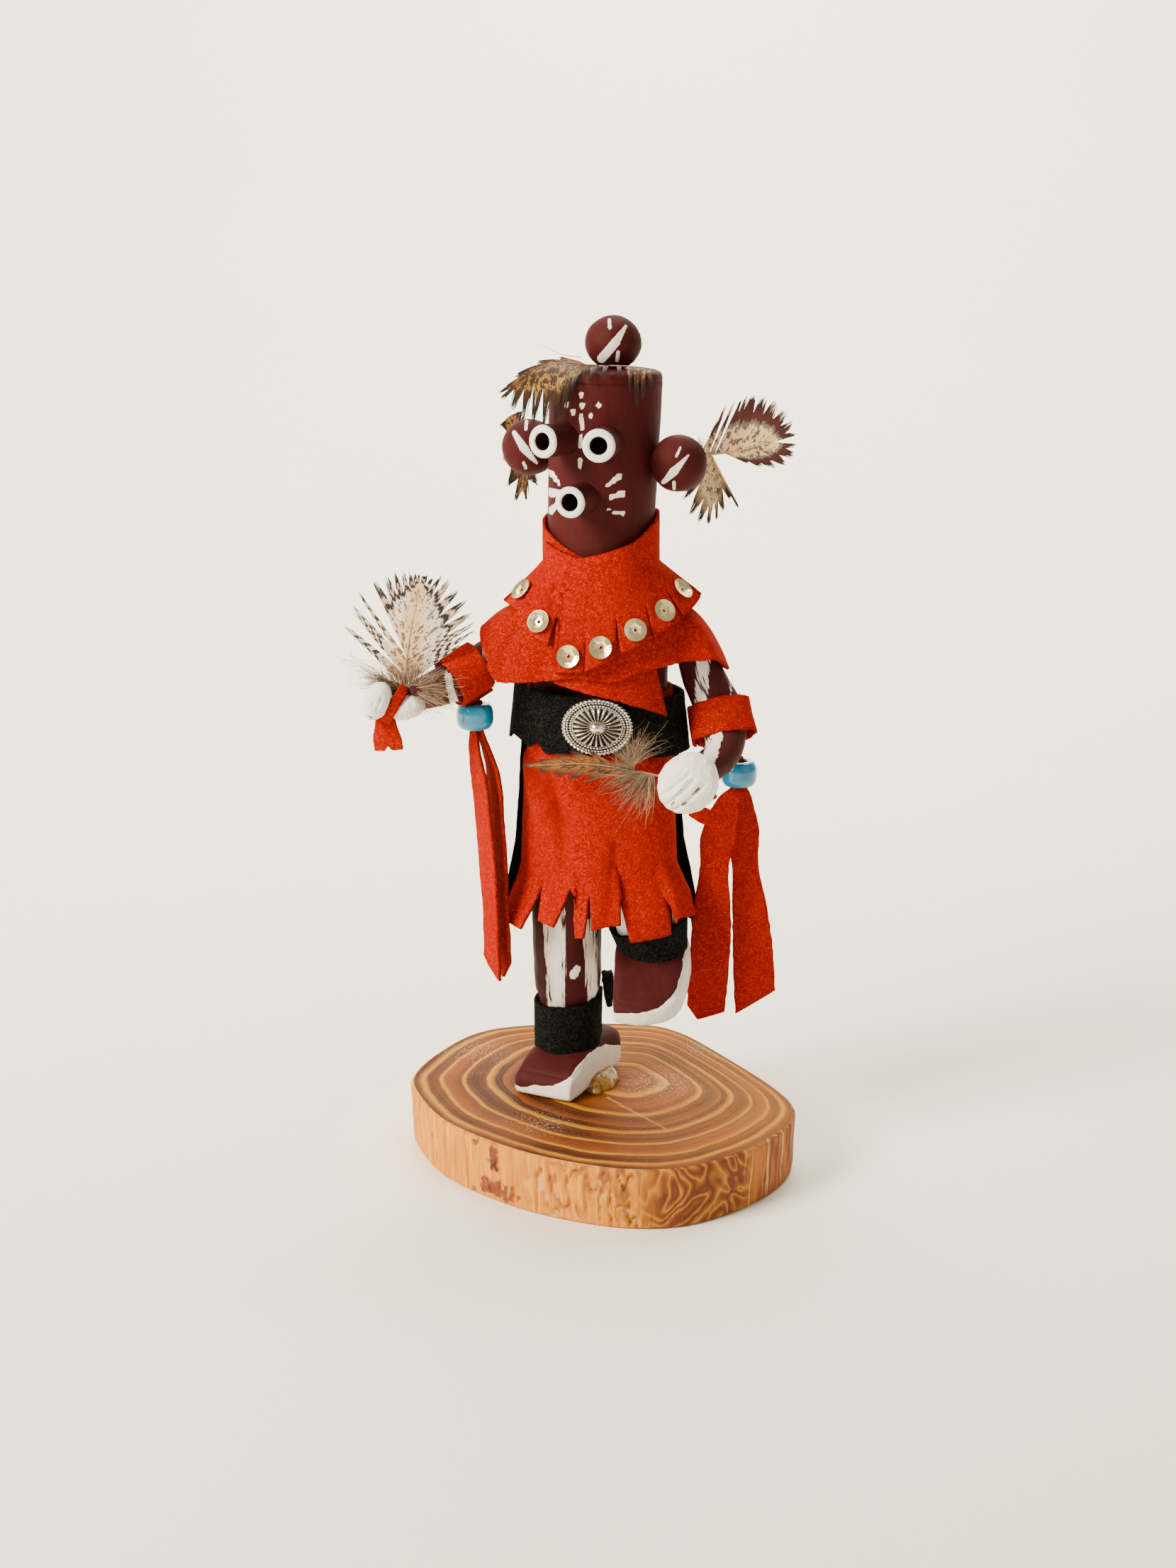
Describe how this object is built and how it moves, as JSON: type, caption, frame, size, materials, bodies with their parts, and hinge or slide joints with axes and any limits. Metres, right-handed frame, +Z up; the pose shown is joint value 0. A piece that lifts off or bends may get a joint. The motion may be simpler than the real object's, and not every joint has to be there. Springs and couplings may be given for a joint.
{
  "type": "kachina doll",
  "caption": "Dancing carved wooden doll with a ball-eared head, suede cape and kilt, fringes and feathers, standing on a slice of log.",
  "frame": {"origin": "middle of the flat underside of the log slab", "axes": "+Z up along the standing doll, the doll faces -Y, +X is the viewer's right"},
  "size_m": [0.1133, 0.1043, 0.2177],
  "materials": {
    "log": "oiled end grain with growth rings, debarked side",
    "body_paint": "carved wood under matt oxblood paint with brushed white stripes",
    "head_paint": "turned wood under matt oxblood paint with white dabs",
    "foot_paint": "carved wood under white paint, oxblood on top",
    "hand_paint": "carved wood under thick white paint",
    "glue": "clear amber glue",
    "black_suede": "black suede",
    "red_suede": "orange-red suede with a raised nap",
    "sequin": "pale gold mirror-coated sequin",
    "concho": "stamped bright white metal",
    "bead": "glossy turquoise pony bead",
    "feather": "speckled cream and brown feather with tan down"
  },
  "bodies": {
    "root": {"base_slab": "log", "foot_left": "foot_paint", "foot_right": "foot_paint", "heel_glue": "glue", "torso": "body_paint", "leg_left": "body_paint", "leg_right": "body_paint", "arm_left": "body_paint", "arm_right": "body_paint", "head": "head_paint", "topknot": "head_paint", "ear_left": "head_paint", "ear_right": "head_paint", "eye_left": "head_paint", "eye_right": "head_paint", "mouth": "head_paint", "hand_left": "hand_paint", "hand_right": "hand_paint", "ankle_cuff_left": "black_suede", "ankle_cuff_right": "black_suede", "ankle_cuff_end": "black_suede", "sash": "black_suede", "back_flap": "black_suede", "kilt": "red_suede", "cape_lower": "red_suede", "collar": "red_suede", "arm_band_left": "red_suede", "arm_band_right": "red_suede", "ribbon_left_outer": "red_suede", "ribbon_left_inner": "red_suede", "ribbon_right_inner": "red_suede", "ribbon_right_outer": "red_suede", "hand_tie_left": "red_suede", "hand_tie_right": "red_suede", "sequin_01": "sequin", "sequin_02": "sequin", "sequin_03": "sequin", "sequin_04": "sequin", "sequin_05": "sequin", "sequin_06": "sequin", "sequin_07": "sequin", "sequin_08": "sequin", "sequin_09": "sequin", "sequin_10": "sequin", "sequin_11": "sequin", "concho": "concho", "bead_left": "bead", "bead_right": "bead", "feather_fan": "feather", "feather_ear_right_up": "feather", "feather_ear_right_down": "feather", "feather_ear_left": "feather", "feather_head_left": "feather", "feather_head_right": "feather", "feather_hand_right": "feather"}
  },
  "joints": []
}
